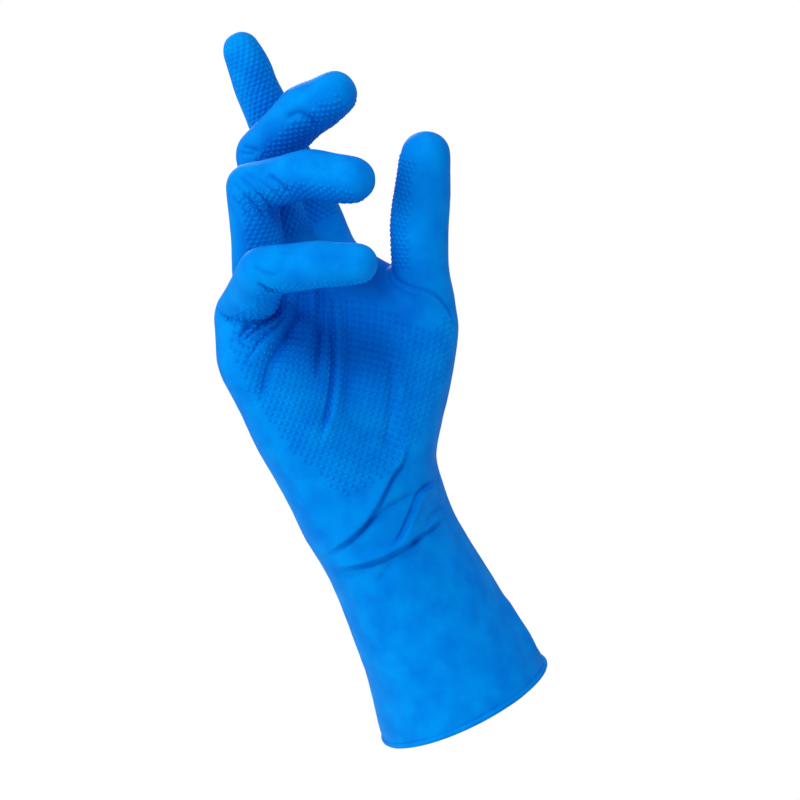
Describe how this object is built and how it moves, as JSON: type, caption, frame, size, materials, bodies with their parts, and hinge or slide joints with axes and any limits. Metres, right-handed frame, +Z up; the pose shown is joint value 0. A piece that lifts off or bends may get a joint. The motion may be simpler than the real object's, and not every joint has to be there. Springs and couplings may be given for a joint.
{
  "type": "nitrile exam glove",
  "caption": "Thin dipped exam glove with a long cuff and a rolled rim, in its worn shape: index finger straight, the other fingers curled and the thumb upright.",
  "frame": {"origin": "centre of the cuff's opening, where the forearm goes in", "axes": "+Z up, with the forearm and hand rising and leaning towards -X; +X to the thumb's side; -Y towards a viewer who sees the palm's side"},
  "size_m": [0.1269, 0.1098, 0.273],
  "materials": {
    "nitrile": "satin blue nitrile film with a fine raised grip pattern on the palm side"
  },
  "bodies": {
    "root": {"glove_film": "nitrile"}
  },
  "joints": []
}
